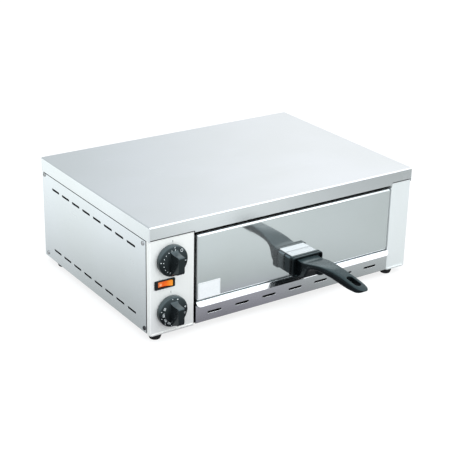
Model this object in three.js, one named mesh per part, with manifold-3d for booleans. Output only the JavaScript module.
// Countertop pizza oven: a low stainless-steel casing with a control compartment on the left, a heated
// chamber behind a pull-out door that carries a wire rack, a crumb tray under the door, four rubber feet.
//
// Frame while building: X to the right, Y to the back, Z up, millimetres.
// X = 0 is the left side of the lid, Y = 0 the plane of fascia and door, Z = 0 the casing's underside.
// At the end the whole is shifted so that its origin is the centre of its own box, at floor level.
import * as THREE from "three";
import { mergeVertices } from "three/addons/utils/BufferGeometryUtils.js";
import Module from "manifold-3d";

const wasm = await Module();
wasm.setup();

// ---------------------------------------------------------------- driving dimensions
// A span is a pair [from, to] along one axis.
const WIDTH = 570; // casing width over the lid
const DEPTH = 408.5; // casing depth over the lid
const HEIGHT = 200.4; // casing height without feet
const SHEET = 1.2; // sheet thickness
const LID_Y = [-1.5, -1.5 + DEPTH]; // outer faces of the lid's front and rear flanges
const LID_FLANGE_FRONT = 22.7; // height of the lid's front flange
const LID_FLANGE_SIDE = 25.8; // height of its side and rear flanges

const INSET = 1.5; // side panels sit this far inside the lid's sides
const PANEL_TOP = HEIGHT - SHEET - 0.4; // side and rear panels end just under the lid
const SKIN_TOP = 190; // front sheets end here, under the lid
const SKIN_BOTTOM = 0.6;
const FACE_Y = [0, SHEET]; // thickness of the front sheets
const REAR_Y = [404.3, 404.3 + SHEET]; // thickness of the rear panel
const PAN_BOTTOM = 1.6; // underside of the base pan
const PAN_TOP = PAN_BOTTOM + SHEET;
const ON_PAN = PAN_TOP + 0.3; // parts standing on the base pan start here
const ABOVE_PAN = PAN_TOP + 0.4; // upright returns at the front end here

const CHAMBER = { x: [94, 522.4], y: [14.2, 380], top: 169.2 };
const [CHAMBER_L, CHAMBER_R] = CHAMBER.x;
const CHAMBER_BACK = CHAMBER.y[1];
const FLOOR_Z = 35; // top of the chamber floor
const CHAMBER_GAP = 0.3; // between the shell and its floor and back
const DOOR = { x: [92.6, 523.8], z: [44.3, 167], depth: 6 };

const KNOB_X = 41.1;
const TIMER_Z = 136;
const THERMOSTAT_Z = 41.6;
const SWITCH = { x: 28.2, z: 93.9 };
const HANDLE_X = 309.2; // handle centre line
const RACK_Z = 78; // centre height of the rack's frame rods
const UPPER_Z = 151; // heights of the two elements
const LOWER_Z = 59;
const RUN_Y = [90, 160, 230, 300]; // straight runs of the elements
const LAST_RUN_Y = RUN_Y.at(-1);
const FOOT_H = 12;
const CORD = { x: 52, z: 34, radius: 4 }; // where it leaves the rear panel, and its radius

// ---------------------------------------------------------------- spans and outlines
const around = (centre, half) => [centre - half, centre + half];
const inset = ([from, to], by) => [from + by, to - by];
const past = (span) => inset(span, -1); // for tools that cut right through
// Maps an X span to itself, or to its mirror image about the middle of another span.
const onSide = (mirror, [left, right]) => ([from, to]) =>
  mirror ? [left + right - to, left + right - from] : [from, to];

// Regular polygon with n sides, a side (not a corner) centred on angle 0.
const ngon = (x, y, radius, n) =>
  Array.from({ length: n }, (_, i) => {
    const angle = ((i + 0.5) / n) * 2 * Math.PI;
    return [x + radius * Math.cos(angle), y + radius * Math.sin(angle)];
  });

// Corners run counter-clockwise from the upper right one; each has n spans.
function roundRect([x0, x1], [y0, y1], radius, n) {
  const corners = [
    [x1 - radius, y1 - radius],
    [x0 + radius, y1 - radius],
    [x0 + radius, y0 + radius],
    [x1 - radius, y0 + radius],
  ];
  return corners.flatMap(([x, y], corner) =>
    Array.from({ length: n + 1 }, (_, i) => {
      const angle = ((corner + i / n) * Math.PI) / 2;
      return [x + radius * Math.cos(angle), y + radius * Math.sin(angle)];
    }),
  );
}

// Outlines of a row of vent slots, starting at `first` and running along the sheet at height z.
const SLOT = { length: 29.5, height: 3.5, pitch: 41.1, corner: 1.35 };
const slotRow = ({ first, z, count = 8, pitch = SLOT.pitch, length = SLOT.length }) =>
  Array.from({ length: count }, (_, i) => {
    const start = first + i * pitch;
    return roundRect([start, start + length], around(z, SLOT.height / 2), SLOT.corner, 1);
  });

// ---------------------------------------------------------------- solids
// A closed three.js geometry as a solid that can be joined and cut.
function solid(geometry) {
  const bare = geometry.clone();
  for (const name of Object.keys(bare.attributes)) {
    if (name !== "position") bare.deleteAttribute(name);
  }
  const merged = mergeVertices(bare, 1e-4);
  const index = merged.index.array;
  const triangles = [];
  for (let i = 0; i < index.length; i += 3) {
    const [a, b, c] = index.slice(i, i + 3);
    if (a !== b && b !== c && a !== c) triangles.push(a, b, c);
  }
  return new wasm.Manifold(
    new wasm.Mesh({
      numProp: 3,
      vertProperties: new Float32Array(merged.attributes.position.array),
      triVerts: new Uint32Array(triangles),
    }),
  );
}
const join = (...parts) => parts.flat().reduce((sum, part) => sum.add(part));
const cut = (body, ...tools) => tools.flat().reduce((rest, tool) => rest.subtract(tool), body);

function box([x0, x1], [y0, y1], [z0, z1]) {
  const geometry = new THREE.BoxGeometry(x1 - x0, y1 - y0, z1 - z0);
  return solid(geometry.translate((x0 + x1) / 2, (y0 + y1) / 2, (z0 + z1) / 2));
}

// Exact quarter-turn maps.
const Y_TO_Z = new THREE.Matrix4().set(1, 0, 0, 0, 0, 0, -1, 0, 0, 1, 0, 0, 0, 0, 0, 1);
const Z_TO_X = new THREE.Matrix4().set(0, 0, 1, 0, 1, 0, 0, 0, 0, 1, 0, 0, 0, 0, 0, 1);
const Y_TO_X = new THREE.Matrix4().set(0, 1, 0, 0, 0, 0, 1, 0, 1, 0, 0, 0, 0, 0, 0, 1);

const shapeOf = (points) => new THREE.Shape(points.map(([x, y]) => new THREE.Vector2(x, y)));
const extrude = (points, depth) =>
  new THREE.ExtrudeGeometry(shapeOf(points), { depth, bevelEnabled: false, steps: 1 });
// Prisms along each axis; their points are (x, y), (x, z) and (y, z).
const prismZ = (points, [z0, z1]) => solid(extrude(points, z1 - z0).translate(0, 0, z0));
const prismY = (points, [y0, y1]) =>
  solid(extrude(points, y1 - y0).applyMatrix4(Y_TO_Z).translate(0, y1, 0));
const prismX = (points, [x0, x1]) =>
  solid(extrude(points, x1 - x0).applyMatrix4(Z_TO_X).translate(x0, 0, 0));

// A turned piece: profile of [radius, height], starting and ending on the axis or closed on itself.
// The axis is Y unless a map turns it.
function turned(profile, segments, place, axisMap) {
  const make = (points) => {
    const geometry = new THREE.LatheGeometry(
      points.map(([radius, height]) => new THREE.Vector2(radius, height)),
      segments,
    );
    if (axisMap) geometry.applyMatrix4(axisMap);
    return solid(geometry.translate(...place));
  };
  const body = make(profile);
  // A profile listed the other way round comes out inside out.
  return body.volume() > 0 ? body : make([...profile].reverse());
}

// A bent rod's path: rings only at its points, so a straight run is one span.
class RodPath extends THREE.Curve {
  constructor(points) {
    super();
    this.points = points.map((point) => new THREE.Vector3(...point));
  }
  getSpacedPoints() {
    return this.points;
  }
  computeFrenetFrames() {
    const { points } = this;
    const direction = (i) => points[i + 1].clone().sub(points[i]).normalize();
    const tangents = points.map((_, i) => {
      const tangent = new THREE.Vector3();
      if (i > 0) tangent.add(direction(i - 1));
      if (i < points.length - 1) tangent.add(direction(i));
      return tangent.normalize();
    });
    // Each normal is the one before it, made square to the new tangent.
    let normal = new THREE.Vector3(0, 0, 1);
    if (Math.abs(tangents[0].z) > 0.9) normal.set(1, 0, 0);
    const normals = tangents.map((tangent) => {
      normal = normal.clone().addScaledVector(tangent, -normal.dot(tangent)).normalize();
      return normal;
    });
    const binormals = tangents.map((tangent, i) => tangent.clone().cross(normals[i]));
    return { tangents, normals, binormals };
  }
}

// A polyline with its corners rounded, with the given number of spans in each bend.
function rounded(points, radius, spans) {
  const path = [points[0]];
  for (let i = 1; i < points.length - 1; i++) {
    const [before, corner, after] = points
      .slice(i - 1, i + 2)
      .map((point) => new THREE.Vector3(...point));
    const toBefore = before.sub(corner).normalize();
    const toAfter = after.sub(corner).normalize();
    const angle = toBefore.angleTo(toAfter);
    const setback = radius / Math.tan(angle / 2);
    const bisector = toBefore.clone().add(toAfter).normalize();
    const centre = corner.clone().addScaledVector(bisector, radius / Math.sin(angle / 2));
    const start = corner.clone().addScaledVector(toBefore, setback).sub(centre);
    const end = corner.clone().addScaledVector(toAfter, setback).sub(centre);
    const sweep = start.angleTo(end);
    for (let j = 0; j <= spans; j++) {
      const turn = (j / spans) * sweep;
      const point = centre
        .clone()
        .addScaledVector(start, Math.sin(sweep - turn) / Math.sin(sweep))
        .addScaledVector(end, Math.sin(turn) / Math.sin(sweep));
      path.push(point.toArray());
    }
  }
  path.push(points.at(-1));
  return path;
}

const rod = (points, radius, sides) =>
  solid(
    new THREE.ExtrudeGeometry(shapeOf(ngon(0, 0, radius, sides)), {
      steps: points.length - 1,
      bevelEnabled: false,
      extrudePath: new RodPath(points),
    }),
  );

// ---------------------------------------------------------------- materials and assembly
const BRUSHED = { color: 0xd5d8da, roughness: 0.32, metalness: 1 };
const POLISHED = { color: 0xd9dde0, roughness: 0.06, metalness: 1 };
const BRIGHT = { color: 0xeef0f2, roughness: 0.15, metalness: 1 };
const DARK_STEEL = { color: 0x8a8c8e, roughness: 0.5, metalness: 1 };
const WIRE = { color: 0xcfd2d4, roughness: 0.22, metalness: 1 };
const ELEMENT = { color: 0x4a4644, roughness: 0.55, metalness: 0.9 };
const BLACK = { color: 0x101314, roughness: 0.35, metalness: 0 };
const RUBBER = { color: 0x141414, roughness: 0.8, metalness: 0 };
const AMBER = { color: 0xf07818, roughness: 0.2, metalness: 0, emissive: 0x7a2400 };
const LABEL = { color: 0xf4f4f2, roughness: 0.6, metalness: 0 };
const CREAM = { color: 0xe8e2cf, roughness: 0.5, metalness: 0 };
const BRASS = { color: 0xc9a45c, roughness: 0.3, metalness: 1 };
const BROWN_LEAD = { color: 0x7a3b20, roughness: 0.5, metalness: 0 };
const WHITE_LEAD = { color: 0xf2f2ee, roughness: 0.5, metalness: 0 };

const oven = new THREE.Group();

function add(name, body, material) {
  const { vertProperties, triVerts } = body.getMesh();
  const geometry = new THREE.BufferGeometry();
  const positions = new Float32Array(vertProperties);
  geometry.setAttribute("position", new THREE.BufferAttribute(positions, 3));
  geometry.setIndex(new THREE.BufferAttribute(new Uint32Array(triVerts), 1));
  geometry.computeVertexNormals();
  const mesh = new THREE.Mesh(geometry, new THREE.MeshStandardMaterial(material));
  mesh.name = name;
  oven.add(mesh);
}

// ---------------------------------------------------------------- casing
// Lid: a tray open downwards, its front flange shorter than the others.
add(
  "top_cover",
  cut(
    box([0, WIDTH], LID_Y, [HEIGHT - LID_FLANGE_SIDE, HEIGHT]),
    box(inset([0, WIDTH], SHEET), inset(LID_Y, SHEET), [0, HEIGHT - SHEET]),
    box(
      past([0, WIDTH]),
      [LID_Y[0] - 1, LID_Y[0] + SHEET + 0.2],
      [0, HEIGHT - LID_FLANGE_FRONT],
    ),
  ),
  BRUSHED,
);

// Screws: domed heads, the same in the side and rear panels.
const SCREW_HOLE = 2.4;
const SCREW_R = 2;
const SCREW_PROFILE = [
  [0, 2.3], [2.4, 2.1], [3.6, 1.4], [4.1, 0.05], [SCREW_R, 0.05], [SCREW_R, -6], [0, -6],
];
const screwHole = ([across, z]) => ngon(across, z, SCREW_HOLE, 8);
const SIDE_SCREWS = [[23.4, 166], [20.4, 8.4], [398, 169], [394, 8.6]]; // y, z

// Side panel: sheet, front return and bottom flange. The right one mirrors the left.
const SIDE_FRONT = 13.6;
function sidePanel(mirror) {
  const at = onSide(mirror, [0, WIDTH]);
  const sheetX = [INSET, INSET + SHEET];
  const slots = [24.4, 149.7].flatMap((z) => slotRow({ first: 49.4, z }));
  const holes = [...slots, ...SIDE_SCREWS.map(screwHole)];
  return cut(
    join(
      box(at(sheetX), [SIDE_FRONT, REAR_Y[1]], [0, PANEL_TOP]),
      box(at([INSET, 9]), [SIDE_FRONT, SIDE_FRONT + SHEET], [ABOVE_PAN, PANEL_TOP]),
      box(at([INSET, 12]), [SIDE_FRONT, REAR_Y[0] - 0.4], [0, SHEET]),
    ),
    holes.map((outline) => prismX(outline, at(past(sheetX)))),
  );
}
add("left_side_panel", sidePanel(false), BRUSHED);
add("right_side_panel", sidePanel(true), BRUSHED);

SIDE_SCREWS.forEach(([y, z], i) => {
  const leftProfile = SCREW_PROFILE.map(([radius, height]) => [radius, -height]);
  add(`left_screw_${i + 1}`, turned(leftProfile, 8, [INSET, y, z], Y_TO_X), BRIGHT);
  add(`right_screw_${i + 1}`, turned(SCREW_PROFILE, 8, [WIDTH - INSET, y, z], Y_TO_X), BRIGHT);
});

// Rear panel: sheet and top flange, with slots, the cord's hole and screw holes.
const REAR_SCREWS = [158, 20].flatMap((z) => inset([0, WIDTH], 20).map((x) => [x, z]));
const rearHoles = [
  ...[60, 128].flatMap((z) => slotRow({ first: 125, z })),
  ngon(CORD.x, CORD.z, 6.6, 12),
  ...REAR_SCREWS.map(screwHole),
];
add(
  "rear_panel",
  cut(
    join(
      box(inset([0, WIDTH], 3), REAR_Y, [PAN_BOTTOM, PANEL_TOP]),
      box(inset([0, WIDTH], 3), [REAR_Y[0] - 8, REAR_Y[1]], [PANEL_TOP - SHEET, PANEL_TOP]),
    ),
    rearHoles.map((outline) => prismY(outline, past(REAR_Y))),
  ),
  DARK_STEEL,
);
REAR_SCREWS.forEach(([x, z], i) => {
  add(`rear_screw_${i + 1}`, turned(SCREW_PROFILE, 8, [x, REAR_Y[1], z]), BRIGHT);
});

// Base pan: plate with long slots, and an upstand along its front.
const PAN_EDGE = 3.2; // its edges lie this far in from X = 0, X = WIDTH and Y = 0
const PAN_SLOT = { first: 150, pitch: 42, width: 6, y: [120, 290], corner: 2.9 };
const panSlots = Array.from({ length: 7 }, (_, i) => {
  const x = PAN_SLOT.first + i * PAN_SLOT.pitch;
  return prismZ(roundRect([x, x + PAN_SLOT.width], PAN_SLOT.y, PAN_SLOT.corner, 2), [0, 4]);
});
add(
  "base_pan",
  cut(
    join(
      box(inset([0, WIDTH], PAN_EDGE), [PAN_EDGE, REAR_Y[0] - 0.4], [PAN_BOTTOM, PAN_TOP]),
      box([91, 524], [PAN_EDGE, PAN_EDGE + SHEET], [PAN_BOTTOM, 12]),
    ),
    panSlots,
  ),
  DARK_STEEL,
);

// Feet: tapered, with a recess in the underside.
const FOOT_PROFILE = [
  [0, -0.1], [12, -0.1], [12, -3], [10.6, -9],
  [9, -FOOT_H], [4, -FOOT_H], [4, -FOOT_H + 4], [0, -FOOT_H + 4],
];
for (const [row, y] of [["front", 15], ["rear", 366]]) {
  for (const [side, x] of [["left", 18], ["right", 537]]) {
    add(`foot_${row}_${side}`, turned(FOOT_PROFILE, 16, [x, y, 0], Y_TO_Z), RUBBER);
  }
}

// A front sheet's bottom flange.
const bottomFlange = (faceX) => box(faceX, [0, 2.8], [SKIN_BOTTOM, SKIN_BOTTOM + SHEET]);
// Front sheet that wraps round a corner of the casing and returns inwards beside the door.
const CORNER_RETURN = 11;
const INNER_RETURN = 13;
const wrappedFront = (faceX, cornerX, innerX) =>
  join(
    box(faceX, FACE_Y, [SKIN_BOTTOM, SKIN_TOP]),
    box(cornerX, [0, CORNER_RETURN], [SKIN_BOTTOM, SKIN_TOP]),
    box(innerX, [0, INNER_RETURN], [ABOVE_PAN, SKIN_TOP]),
    bottomFlange(faceX),
  );

// Control fascia, with openings for the two shafts and the switch.
const FASCIA_X = [INSET, 88];
add(
  "control_fascia",
  cut(
    wrappedFront(FASCIA_X, [INSET, INSET + SHEET], [FASCIA_X[1] - SHEET, FASCIA_X[1]]),
    [TIMER_Z, THERMOSTAT_Z].map((z) => prismY(ngon(KNOB_X, z, 4.4, 12), past(FACE_Y))),
    box(around(SWITCH.x, 18.2), past(FACE_Y), around(SWITCH.z, 6.9)),
  ),
  BRUSHED,
);

const POST_X = [525, WIDTH - INSET];
add(
  "right_front_post",
  wrappedFront(POST_X, [POST_X[1] - SHEET, POST_X[1]], [POST_X[0], POST_X[0] + SHEET]),
  BRUSHED,
);

// Lower front panel: slotted face with a flange along its top and bottom.
const LOWER_X = [91.8, 524];
const LOWER_TOP = 34.8;
add(
  "lower_front_panel",
  cut(
    join(
      box(LOWER_X, FACE_Y, [SKIN_BOTTOM, LOWER_TOP]),
      box(LOWER_X, [0, 12], [LOWER_TOP - SHEET, LOWER_TOP]),
      bottomFlange(LOWER_X),
    ),
    slotRow({ first: 115.9, z: 16.8, count: 7, pitch: 58.8, length: 29 }).map((outline) =>
      prismY(outline, past(FACE_Y)),
    ),
  ),
  BRUSHED,
);

// ---------------------------------------------------------------- cooking chamber
const BULB = { x: 101, y: 120, z: 128, radius: 3, length: 80 };
// Holes in a left-hand wall for the elements' ends and the bulb's capillary.
const wallHoles = (spanX) => [
  ...[UPPER_Z, LOWER_Z].flatMap((z) =>
    [RUN_Y[0], LAST_RUN_Y].map((y) => prismX(ngon(y, z, 4.2, 8), spanX)),
  ),
  prismX(ngon(BULB.y, BULB.z, 2.2, 6), spanX),
];
const SHELL_Z = [FLOOR_Z + CHAMBER_GAP, CHAMBER.top];

// Shell: left wall, right wall and roof, with a flange round its front.
add(
  "chamber_shell",
  cut(
    join(
      box(CHAMBER.x, CHAMBER.y, SHELL_Z),
      box(
        [CHAMBER_L - 4.4, CHAMBER_R + 2.2],
        [CHAMBER.y[0], CHAMBER.y[0] + SHEET],
        [CHAMBER.top - 60, SKIN_TOP],
      ),
    ),
    box(inset(CHAMBER.x, SHEET), past(CHAMBER.y), [0, CHAMBER.top - SHEET]),
    wallHoles([CHAMBER_L - 6, CHAMBER_L + 3]),
  ),
  DARK_STEEL,
);
const backY = CHAMBER_BACK + CHAMBER_GAP;
add("chamber_back", box(CHAMBER.x, [backY, backY + SHEET], SHELL_Z), DARK_STEEL);

// The floor is a bench: a plate on two flanged legs that stand on the base pan.
const benchY = [CHAMBER.y[0], CHAMBER_BACK + 1.5];
const benchSides = [false, true].map((mirror) => onSide(mirror, CHAMBER.x));
add(
  "chamber_floor",
  join(
    box(CHAMBER.x, benchY, [FLOOR_Z - SHEET, FLOOR_Z]),
    benchSides.map((at) => box(at([CHAMBER_L, CHAMBER_L + SHEET]), benchY, [ON_PAN, FLOOR_Z])),
    benchSides.map((at) =>
      box(at([CHAMBER_L, CHAMBER_L + 10]), benchY, [ON_PAN, ON_PAN + SHEET]),
    ),
  ),
  DARK_STEEL,
);

// Upright wall between controls and chamber, flanged to the left at its foot.
const DIVIDER_R = 91.1;
const dividerY = [16, CHAMBER_BACK];
add(
  "control_divider",
  cut(
    join(
      box([DIVIDER_R - SHEET, DIVIDER_R], dividerY, [ON_PAN, 185]),
      box([80, DIVIDER_R], dividerY, [ON_PAN, ON_PAN + SHEET]),
    ),
    wallHoles([88, 93]),
  ),
  DARK_STEEL,
);

// Rack rails: a channel on each wall that the rack's side rods run in.
function rail(mirror) {
  const at = onSide(mirror, CHAMBER.x);
  const wallX = CHAMBER_L + SHEET + 0.2;
  const railY = [18, 378];
  const [bottom, top] = [RACK_Z - 4.2, RACK_Z + 8.4];
  return join(
    box(at([wallX, wallX + SHEET]), railY, [bottom, top]),
    box(at([wallX, 109]), railY, [bottom, bottom + SHEET]),
    box(at([wallX, 106]), railY, [top - SHEET, top]),
  );
}
add("left_rack_rail", rail(false), DARK_STEEL);
add("right_rack_rail", rail(true), DARK_STEEL);

// Elements: four straight runs joined by half-round bends, both ends in the control compartment.
const ELEMENT_R = 3.3;
const ELEMENT_END_X = 79;
const BEND_X = { left: 150, right: 465 }; // where the bends begin
const BEND_SPANS = 6;
function element(z) {
  const bends = RUN_Y.slice(1).flatMap((nextY, run) => {
    const radius = (nextY - RUN_Y[run]) / 2;
    const [x, outward] = run % 2 === 0 ? [BEND_X.right, 1] : [BEND_X.left, -1];
    return Array.from({ length: BEND_SPANS + 1 }, (_, i) => {
      const angle = (Math.PI * i) / BEND_SPANS;
      const y = RUN_Y[run] + radius - radius * Math.cos(angle);
      return [x + outward * radius * Math.sin(angle), y, z];
    });
  });
  const path = [[ELEMENT_END_X, RUN_Y[0], z], ...bends, [ELEMENT_END_X, LAST_RUN_Y, z]];
  return rod(path, ELEMENT_R, 8);
}
add("upper_element", element(UPPER_Z), ELEMENT);
add("lower_element", element(LOWER_Z), ELEMENT);

// Upright strips across the runs, one hung from the roof and one with a flange at its rear end.
const STRIP_X = [307.4, 308.6];
const STRIP_FRONT = 78;
const clipHoles = (z) => RUN_Y.map((y) => prismX(ngon(y, z, 4.1, 8), [290, 330]));
const hangerY = [STRIP_FRONT, 312];
const hangerTop = CHAMBER.top - SHEET - 0.2;
add(
  "upper_element_hanger",
  cut(
    join(
      box(STRIP_X, hangerY, [UPPER_Z - 8, hangerTop]),
      box([300, STRIP_X[1]], hangerY, [hangerTop - SHEET, hangerTop]),
    ),
    clipHoles(UPPER_Z),
  ),
  DARK_STEEL,
);
add(
  "lower_element_support",
  cut(
    join(
      box(STRIP_X, [STRIP_FRONT, CHAMBER_BACK], around(LOWER_Z, 8)),
      box([300, 316], [CHAMBER_BACK - SHEET, CHAMBER_BACK], around(LOWER_Z, 8)),
    ),
    clipHoles(LOWER_Z),
  ),
  DARK_STEEL,
);

// ---------------------------------------------------------------- pull-out door, rack and handle
const BOLT = { z: 74.5, radius: 3, hole: 3.6 };
// One hole through both door sheets, saddle and block, ending inside the grip.
const boltHole = prismY(ngon(HANDLE_X, BOLT.z, BOLT.hole, 10), [-44, 9]);

// Two nested dishes: the skin is open to the back, the inner panel to the front.
const DOOR_SHEET = 1;
const doorBlock = (by, spanY) => box(inset(DOOR.x, by), spanY, inset(DOOR.z, by));
add(
  "door_skin",
  cut(doorBlock(0, [0, DOOR.depth]), doorBlock(DOOR_SHEET, [DOOR_SHEET, DOOR.depth + 1]), boltHole),
  POLISHED,
);
const innerInset = DOOR_SHEET + 0.3;
const innerBack = DOOR.depth - 0.1;
add(
  "door_inner_panel",
  cut(
    doorBlock(innerInset, [innerInset, innerBack]),
    doorBlock(innerInset + DOOR_SHEET, [1, innerBack - DOOR_SHEET]),
    boltHole,
  ),
  DARK_STEEL,
);

// Wire rack: square frame bars, a middle crossbar and a row of wires from front to back.
const RACK = { x: [101.5, 514.9], y: [6.2, 352], bar: 5 };
const WIRES = { count: 21, first: 116, last: 500.4, half: 1.5 };
const barZ = around(RACK_Z, RACK.bar / 2);
const wirePitch = (WIRES.last - WIRES.first) / (WIRES.count - 1);
add(
  "wire_rack",
  join(
    box([RACK.x[0], RACK.x[0] + RACK.bar], RACK.y, barZ),
    box([RACK.x[1] - RACK.bar, RACK.x[1]], RACK.y, barZ),
    box(RACK.x, [RACK.y[1] - RACK.bar, RACK.y[1]], barZ),
    box(RACK.x, [12, 12 + RACK.bar], barZ),
    box(RACK.x, [176, 180], [barZ[0], RACK_Z + 2.2]),
    Array.from({ length: WIRES.count }, (_, i) =>
      box(
        around(WIRES.first + i * wirePitch, WIRES.half),
        [12.5, 351.5],
        [RACK_Z + 2, RACK_Z + 5],
      ),
    ),
  ),
  WIRE,
);

// Saddle: an upright plate on the door and a shelf over the block.
const SADDLE = { x: around(HANDLE_X, 30.8), front: -19, back: -0.2, bottom: 56.9, top: 92 };
add(
  "handle_saddle",
  cut(
    join(
      box(SADDLE.x, [SADDLE.front, SADDLE.back], [SADDLE.top - SHEET, SADDLE.top]),
      box(SADDLE.x, [SADDLE.back - SHEET, SADDLE.back], [SADDLE.bottom, SADDLE.top]),
    ),
    boltHole,
  ),
  BRIGHT,
);
const blockOutline = roundRect(around(HANDLE_X, 30.6), [SADDLE.bottom, 90.5], 3, 2);
add("handle_block", cut(prismY(blockOutline, [SADDLE.front, -1.7]), boltHole), BLACK);

// Grip, side outline: y, z, along the underside to the front tip and back over the top.
const GRIP_SIDE = [
  [-28, 57.5], [-44, 57.5], [-50, 62], [-53.5, 72], [-60, 80], [-70, 84],
  [-88, 84.4], [-116, 83], [-141, 80.4], [-158, 79.9], [-176, 80.8], [-185, 83.2],
  [-189.6, 86.2], [-190.6, 88.2], [-189, 90], [-180, 91.6], [-166, 93.1], [-152, 94.7],
  [-132, 96.4], [-112, 97], [-90, 96.2], [-66, 92.6], [-46, 88.6], [-28, 87.4],
];
// Grip, plan: y, half width.
const GRIP_HALF_WIDTH = [
  [-28, 22.9], [-47, 22.6], [-67, 20.6], [-86, 17.8], [-112, 15.2], [-130, 14.2],
  [-153, 13.8], [-170, 13.4], [-180, 11.6], [-187, 8], [-190.6, 3],
];
const gripPlan = [
  ...GRIP_HALF_WIDTH.map(([y, half]) => [HANDLE_X - half, y]),
  ...GRIP_HALF_WIDTH.map(([y, half]) => [HANDLE_X + half, y]).reverse(),
];
// The two outlines extruded across each other, a round-cornered collar behind, a slot near the tip.
add(
  "handle_grip",
  cut(
    join(
      prismY(roundRect(around(HANDLE_X, 33.5), [55.7, 93.6], 5, 3), [-29.5, -19.3]),
      prismX(GRIP_SIDE, around(HANDLE_X, 40)).intersect(prismZ(gripPlan, [40, 110])),
    ),
    prismZ(roundRect(around(HANDLE_X, 5.4), [-175, -142], 5.3, 3), [60, 110]),
    boltHole,
  ),
  BLACK,
);
const BOLT_PROFILE = [
  [0, 9.4], [4, 9.4], [5.4, 8.2], [5.4, 6.3], [BOLT.radius, 6.3], [BOLT.radius, -43], [0, -43],
];
add("handle_bolt", turned(BOLT_PROFILE, 10, [HANDLE_X, 0, BOLT.z]), BRIGHT);
add("door_label", box([96, 144], [-0.35, -0.05], [46.5, 78.5]), LABEL);

// ---------------------------------------------------------------- crumb tray
const TRAY = { x: [98, 518.5], y: [0.5, 372], bottom: 35.4, sheet: 1 };
// Pull lip, sloping forwards and down from z, with rounded lower corners.
const LIP = { x: [91.6, 525.4], z: 43.2, drop: 10.4, reach: 5, sheet: 1, corner: 7 };
const lipBottom = LIP.z - LIP.drop;
const LIP_SECTION = [
  [-0.3, LIP.z], [-1.2, LIP.z], [-LIP.reach, lipBottom],
  [-LIP.reach + LIP.sheet, lipBottom], [-0.3, LIP.z - LIP.sheet],
]; // y, z
// The slice keeps the two lower corners, 5 points each.
const lipOutline = [
  ...roundRect(LIP.x, [lipBottom, LIP.z + 20], LIP.corner, 4).slice(10),
  [LIP.x[1], LIP.z + 0.01],
  [LIP.x[0], LIP.z + 0.01],
];
add(
  "crumb_tray",
  join(
    cut(
      box(TRAY.x, TRAY.y, [TRAY.bottom, LIP.z]),
      box(
        inset(TRAY.x, TRAY.sheet),
        inset(TRAY.y, TRAY.sheet),
        [TRAY.bottom + TRAY.sheet, LIP.z + 1],
      ),
    ),
    prismX(LIP_SECTION, LIP.x).intersect(prismY(lipOutline, [-10, 10])),
    box(TRAY.x, [-0.8, 1.5], [LIP.z - LIP.sheet, LIP.z]),
  ),
  BRIGHT,
);

// ---------------------------------------------------------------- controls
const SHAFT_R = 3;
const KNOB_R = 28; // skirt radius
const GRIP_W = 12; // width of the knob's bar
const KNOB_FRONT = -33; // front face of the bar
// A cylinder on a knob's axis.
const knobAxisCylinder = (radius, [y0, y1], z) =>
  turned([[0, y0], [radius, y0], [radius, y1], [0, y1]], 12, [KNOB_X, 0, z]);

const SKIRT_PROFILE = [
  [0, -0.8], [KNOB_R, -0.8], [KNOB_R, -5], [KNOB_R - 0.9, -7], [KNOB_R - 3, -8], [0, -10.6],
];
// Bar outline: y, height from the knob's axis.
const BAR_OUTLINE = [
  [-4, 24.4], [-7.6, 24], [-14.5, 18.3], [-22, 15.5], [-30, 14.4],
  [KNOB_FRONT + 0.6, 12.6], [KNOB_FRONT, 9], [KNOB_FRONT, -11], [KNOB_FRONT + 1, -14.6],
  [-28, -17.4], [-18, -19.6], [-8, -21.4], [-4, -21.6],
];
// Knob: a domed skirt with a bar grip that ramps down to the skirt at its top. It faces -Y.
function knob(z) {
  const barOutline = BAR_OUTLINE.map(([y, height]) => [y, z + height]);
  return cut(
    join(
      turned(SKIRT_PROFILE, 28, [KNOB_X, 0, z]),
      prismX(barOutline, around(KNOB_X, GRIP_W / 2)),
    ),
    knobAxisCylinder(SHAFT_R + 0.3, [-20, 0], z),
  );
}
const shaft = (z, back) => knobAxisCylinder(SHAFT_R, [-19.6, back], z);
add("timer_knob", knob(TIMER_Z), BLACK);
add("timer_shaft", shaft(TIMER_Z, 12), BRASS);
add("thermostat_knob", knob(THERMOSTAT_Z), BLACK);
add("thermostat_shaft", shaft(THERMOSTAT_Z, 10), BRASS);

// Both bodies have a round boss in front, a blind shaft bore and tabs at the back.
const BODY_FRONT = 3.4;
const boss = (z) => knobAxisCylinder(8, [1.5, 5], z);
const shaftBore = (z, back) => knobAxisCylinder(SHAFT_R + 0.4, [0, back], z);
const bodyTab = (offsetX, spanY, z) => box(around(KNOB_X + offsetX, 2), spanY, around(z, 3));
add(
  "timer_body",
  cut(
    join(
      box(around(KNOB_X, 23), [BODY_FRONT, 34], around(TIMER_Z, 23)),
      boss(TIMER_Z),
      [-10, 10].map((offsetX) => bodyTab(offsetX, [30, 41], TIMER_Z)),
    ),
    shaftBore(TIMER_Z, 14),
  ),
  CREAM,
);
const THERMOSTAT_PROFILE = [[0, BODY_FRONT], [21, BODY_FRONT], [21, 24], [17, 28], [0, 28]];
add(
  "thermostat_body",
  cut(
    join(
      turned(THERMOSTAT_PROFILE, 20, [KNOB_X, 0, THERMOSTAT_Z]),
      boss(THERMOSTAT_Z),
      bodyTab(-12, [24, 37], THERMOSTAT_Z),
    ),
    shaftBore(THERMOSTAT_Z, 12),
  ),
  CREAM,
);

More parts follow.
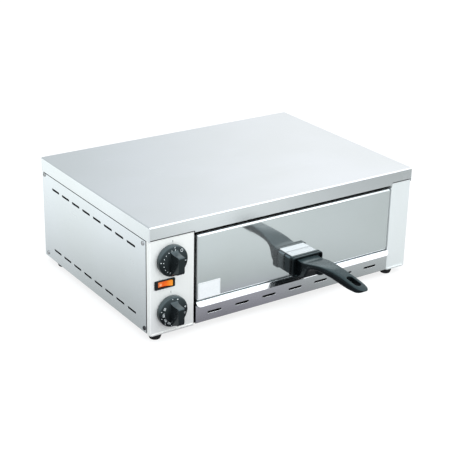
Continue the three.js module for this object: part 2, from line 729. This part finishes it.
// Sensing bulb in the chamber, with its capillary through the wall and the divider.
const BULB_PROFILE = [
  [0, 0], [BULB.radius, 1], [BULB.radius, BULB.length - 1], [0, BULB.length],
];
const CAPILLARY = [
  [KNOB_X + 6, 28.4, THERMOSTAT_Z + 6],
  [KNOB_X + 6, 60, THERMOSTAT_Z + 6],
  [70, 60, BULB.z],
  [70, BULB.y, BULB.z],
  [BULB.x, BULB.y, BULB.z],
  [BULB.x, BULB.y + 12, BULB.z],
];
add(
  "thermostat_bulb",
  join(
    turned(BULB_PROFILE, 8, [BULB.x, BULB.y, BULB.z]),
    rod(rounded(CAPILLARY, 7, 2), 1.2, 6),
  ),
  BRASS,
);

// Switch housing: bezel, hollow body and two terminals at the back.
const SWITCH_TAB = 11.5; // terminals' distance from the centre
add(
  "switch_housing",
  cut(
    join(
      prismY(
        roundRect(around(SWITCH.x, 19.3), around(SWITCH.z, 8.3), 1.6, 2),
        [-2.2, -0.2],
      ),
      box(around(SWITCH.x, 17.7), [-0.3, 22], around(SWITCH.z, 6.6)),
      [-SWITCH_TAB, SWITCH_TAB].map((offset) =>
        box(around(SWITCH.x + offset, 0.5), [21, 30], around(SWITCH.z, 3)),
      ),
    ),
    box(around(SWITCH.x, 16.2), [-3, 15], around(SWITCH.z, 5.6)),
  ),
  BLACK,
);

// Rocker: shallow-vee face, tilted about an upright axis so that its left end is pressed in.
const ROCKER = { height: 10.2, tilt: 9, pivotY: 2.5 }; // tilt in degrees
const ROCKER_PLAN = [
  [-14.6, -4.4], [0, -2.6], [14.6, -4.4], [14.6, 4], [5, 8], [-5, 8], [-14.6, 4],
]; // x, y from the pivot
const rocker = extrude(ROCKER_PLAN, ROCKER.height)
  .translate(0, 0, -ROCKER.height / 2)
  .rotateZ((-ROCKER.tilt * Math.PI) / 180)
  .translate(SWITCH.x, ROCKER.pivotY, SWITCH.z);
add("switch_rocker", solid(rocker), AMBER);

// ---------------------------------------------------------------- wiring
add(
  "terminal_block",
  join(box([30, 76], [350, 366], [ON_PAN, 18]), box([30, 76], [354, 362], [18, 22])),
  CREAM,
);

const LEAD_R = 1.6;
const LEAD_END_Y = 349.6; // just in front of the terminal block
const LIVE_PATH = [
  [SWITCH.x - SWITCH_TAB, 30.4, SWITCH.z],
  [SWITCH.x - SWITCH_TAB, 60, SWITCH.z],
  [SWITCH.x - SWITCH_TAB, 110, 12],
  [40, 300, 10],
  [40, LEAD_END_Y, 10],
];
add("live_lead", rod(rounded(LIVE_PATH, 12, 3), LEAD_R, 6), BROWN_LEAD);
const ELEMENT_LEAD_PATH = [
  [66, LEAD_END_Y, 12],
  [66, 320, 12],
  [66, LAST_RUN_Y, 30],
  [66, LAST_RUN_Y, LOWER_Z],
  [ELEMENT_END_X - 0.4, LAST_RUN_Y, LOWER_Z],
];
add("element_lead", rod(rounded(ELEMENT_LEAD_PATH, 6, 3), LEAD_R, 6), WHITE_LEAD);

// Gland: a flanged sleeve round the cord in the rear panel.
const GLAND_BORE = CORD.radius + 0.4;
const GLAND_PROFILE = [
  [GLAND_BORE, -8], [6.2, -8], [6.2, 0.1], [9.5, 0.1], [9.5, 3],
  [7, 6], [6, 18], [GLAND_BORE, 18], [GLAND_BORE, -8],
];
add("cord_gland", turned(GLAND_PROFILE, 12, [CORD.x, REAR_Y[1], CORD.z]), BLACK);

// Cord: from the terminal block through the gland, down behind the casing and along the worktop.
const REST_Z = -FOOT_H + 0.3; // underside of cord and plug
const PLUG = { x: CORD.x + 300.4, y: 446, z: REST_Z + 12 };
const cordRestZ = REST_Z + CORD.radius;
const CORD_PATH = [
  [CORD.x, 366.6, 12],
  [CORD.x, 376, 12],
  [CORD.x, 388, CORD.z],
  [CORD.x, 440, CORD.z],
  [CORD.x + 12, PLUG.y, cordRestZ],
  [CORD.x + 120, PLUG.y, cordRestZ],
  [CORD.x + 300, PLUG.y, cordRestZ],
];
add("power_cord", rod(rounded(CORD_PATH, 7, 3), CORD.radius, 10), BLACK);

// Plug: body and narrower neck, with two flat pins joined by a bar inside it.
const plugX = (from, to) => [PLUG.x + from, PLUG.x + to];
const pins = (spanX, gap) =>
  [-6.35, 6.35].map((offset) =>
    box(spanX, around(PLUG.y + offset, 0.75 + gap), around(PLUG.z, 3.2 + gap)),
  );
const PIN_GAP = 0.3; // between the pins and their pocket
add(
  "power_plug",
  cut(
    join(
      prismX(roundRect(around(PLUG.y, 14), around(PLUG.z, 12), 5, 2), plugX(16, 46)),
      prismX(roundRect(around(PLUG.y, 9), [REST_Z, -FOOT_H + 15], 4, 2), plugX(0, 17)),
    ),
    pins(plugX(38, 50), PIN_GAP),
    box(plugX(38, 42.6), around(PLUG.y, 7.1 + PIN_GAP), around(PLUG.z, 3.2 + PIN_GAP)),
  ),
  BLACK,
);
add(
  "plug_pins",
  join(
    pins(plugX(38.4, 62), 0),
    box(plugX(38.4, 40.4), around(PLUG.y, 7.1), around(PLUG.z, 3.2)),
  ),
  BRASS,
);

// ---------------------------------------------------------------- origin
const extent = new THREE.Box3().setFromObject(oven);
oven.position.set(
  -(extent.min.x + extent.max.x) / 2,
  -(extent.min.y + extent.max.y) / 2,
  -extent.min.z,
);

export default oven;
